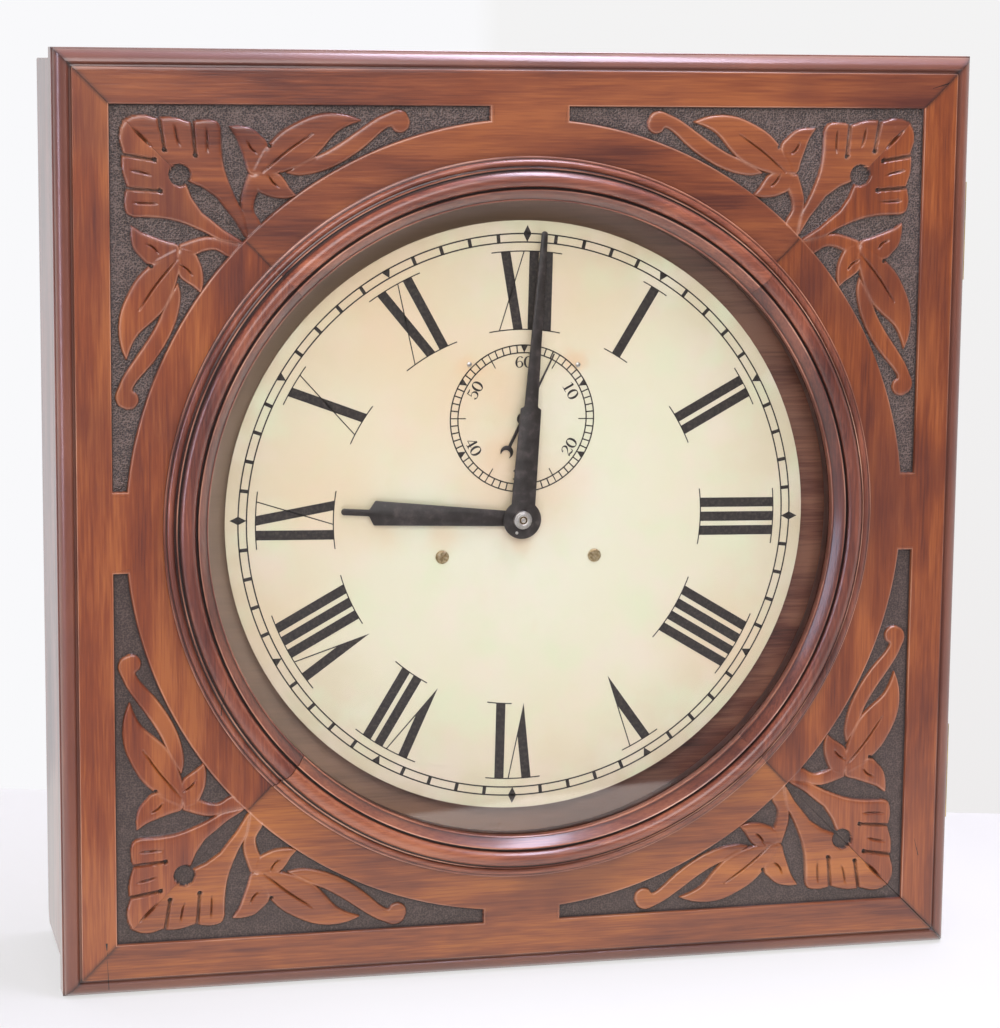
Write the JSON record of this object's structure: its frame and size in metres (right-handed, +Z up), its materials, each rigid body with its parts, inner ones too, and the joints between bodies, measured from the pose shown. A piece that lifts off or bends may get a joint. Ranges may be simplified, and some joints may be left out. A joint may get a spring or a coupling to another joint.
{
  "type": "wall clock",
  "caption": "Square wooden wall clock with carved door corners, turned round bezel, cream dial and an electric self-winding pendulum movement.",
  "frame": {"origin": "on the wall plane, straight behind the middle of the dial", "axes": "+X right and +Z up as seen from the front, +Y into the wall, so the front faces -Y"},
  "size_m": [0.5587, 0.1598, 0.552],
  "materials": {
    "case_wood": "worn varnish, reddish brown",
    "back_wood": "plain, unvarnished",
    "mat_wood": "brown stain",
    "rail_wood": "old varnish, orange brown",
    "stile_wood": "old varnish, red brown",
    "bezel_wood": "old varnish, dark red brown",
    "clear_glass": "clear, polished",
    "dial_enamel": "aged cream paint",
    "ink": "black print",
    "hand_black": "black, satin",
    "brass": "lacquered, dulled",
    "bright_brass": "polished",
    "nickel": "nickel plate",
    "steel": "satin",
    "iron": "black japanned",
    "soft_iron": "bare, dark",
    "coil_wire": "cotton covered wire, dark red",
    "cell_jacket": "green paper jacket, dark top"
  },
  "bodies": {
    "case": {"case_left_side": "case_wood", "case_right_side": "case_wood", "case_top": "case_wood", "case_bottom": "case_wood", "case_back": "back_wood", "dial_mat": "mat_wood", "mat_blocks": "back_wood", "mat_screws": "bright_brass", "hanger_plate": "brass", "hanger_screws": "bright_brass", "hinge_case_leaves": "brass", "hook_screw": "bright_brass", "dial": "dial_enamel", "dial_print": "ink", "dial_screws": "bright_brass", "front_plate": "brass", "back_plate": "brass", "plate_pillars": "brass", "pillar_screws": "steel", "movement_bracket": "iron", "bracket_screws": "bright_brass", "magnet_yoke": "soft_iron", "magnet_coils": "coil_wire", "contact_springs": "brass", "suspension_cock": "brass", "dry_cell_left": "cell_jacket", "dry_cell_right": "cell_jacket"},
    "door": {"door_top_rail": "rail_wood", "door_right_stile": "stile_wood", "door_bottom_rail": "rail_wood", "door_left_stile": "stile_wood", "bezel_top": "bezel_wood", "bezel_right": "bezel_wood", "bezel_bottom": "bezel_wood", "bezel_left": "bezel_wood", "door_glass": "clear_glass", "glass_ring": "mat_wood", "door_stud": "brass", "hinge_door_leaves": "brass"},
    "hook": {"door_hook": "brass"},
    "minute_work": {"centre_wheel": "brass", "cannon_pinion": "steel", "minute_hand": "hand_black", "hand_nut": "nickel"},
    "hour_work": {"hour_wheel": "brass", "hour_hand": "hand_black"},
    "minute_wheel": {"minute_wheel": "brass"},
    "third_wheel": {"third_wheel": "brass"},
    "escape_work": {"escape_wheel": "brass", "seconds_hand": "hand_black"},
    "anchor": {"anchor": "steel"},
    "pendulum": {"suspension_spring": "steel", "pendulum_rod": "bright_brass"},
    "bob": {"pendulum_bob": "bright_brass"},
    "rating_nut": {"rating_nut": "bright_brass"},
    "armature": {"armature": "soft_iron"},
    "ratchet_wheel": {"ratchet_wheel": "steel"},
    "winding_wheel": {"winding_wheel": "brass"}
  },
  "joints": [
    {"name": "door_swing", "type": "hinge", "parent": "case", "child": "door", "pos_m": [0.2795, -0.122, 0], "axis": [0, 0, 1], "range_deg": [0, 110]},
    {"name": "hook_swing", "type": "hinge", "parent": "case", "child": "hook", "pos_m": [-0.2, -0.08, 0.27], "axis": [0, 0, 1], "range_deg": [-50, 35]},
    {"name": "minute_hand_turn", "type": "hinge", "parent": "case", "child": "minute_work", "pos_m": [0, -0.1, 0], "axis": [0, 1, 0], "continuous": true},
    {"name": "hour_hand_turn", "type": "hinge", "parent": "case", "child": "hour_work", "pos_m": [0, -0.128, 0], "axis": [0, 1, 0], "continuous": true},
    {"name": "minute_wheel_turn", "type": "hinge", "parent": "case", "child": "minute_wheel", "pos_m": [0.0125, -0.123, -0.01295], "axis": [0, 1, 0], "continuous": true},
    {"name": "third_wheel_turn", "type": "hinge", "parent": "case", "child": "third_wheel", "pos_m": [-0.01747, -0.1, 0.03148], "axis": [0, 1, 0], "continuous": true},
    {"name": "seconds_hand_turn", "type": "hinge", "parent": "case", "child": "escape_work", "pos_m": [0.00105, -0.1, 0.05999], "axis": [0, 1, 0], "continuous": true},
    {"name": "pendulum_swing", "type": "hinge", "parent": "case", "child": "pendulum", "pos_m": [0.00143, -0.066, 0.08199], "axis": [0, 1, 0], "range_deg": [-3, 3]},
    {"name": "anchor_rock", "type": "hinge", "parent": "case", "child": "anchor", "pos_m": [0.00143, -0.1, 0.08199], "axis": [0, 1, 0], "range_deg": [-3, 3]},
    {"name": "bob_slide", "type": "slide", "parent": "pendulum", "child": "bob", "axis": [0, 0, 1], "range_m": [-0.002, 0.002]},
    {"name": "nut_turn", "type": "hinge", "parent": "bob", "child": "rating_nut", "pos_m": [0.00143, -0.066, -0.20671], "axis": [0, 0, 1], "range_deg": [-900, 900]},
    {"name": "armature_rock", "type": "hinge", "parent": "case", "child": "armature", "pos_m": [-0.03484, -0.1, -0.0479], "axis": [0, 1, 0], "range_deg": [0, 2.5], "stiffness_Nm_per_rad": 0.5, "springref_deg": -3.44},
    {"name": "winding_wheel_turn", "type": "hinge", "parent": "case", "child": "winding_wheel", "pos_m": [0, -0.098, 0], "axis": [0, 1, 0], "continuous": true},
    {"name": "ratchet_wheel_turn", "type": "hinge", "parent": "case", "child": "ratchet_wheel", "pos_m": [0.02853, -0.104, -0.0248], "axis": [0, 1, 0], "continuous": true}
  ],
  "couplings": [
    {"joint": "hour_hand_turn", "follows": "minute_hand_turn", "ratio": 0.083333},
    {"joint": "minute_wheel_turn", "follows": "minute_hand_turn", "ratio": -0.33333},
    {"joint": "third_wheel_turn", "follows": "minute_hand_turn", "ratio": -8},
    {"joint": "seconds_hand_turn", "follows": "minute_hand_turn", "ratio": 60},
    {"joint": "anchor_rock", "follows": "pendulum_swing", "ratio": 1},
    {"joint": "nut_turn", "follows": "bob_slide", "rad_per_m": 7854},
    {"joint": "ratchet_wheel_turn", "follows": "winding_wheel_turn", "ratio": -6}
  ]
}
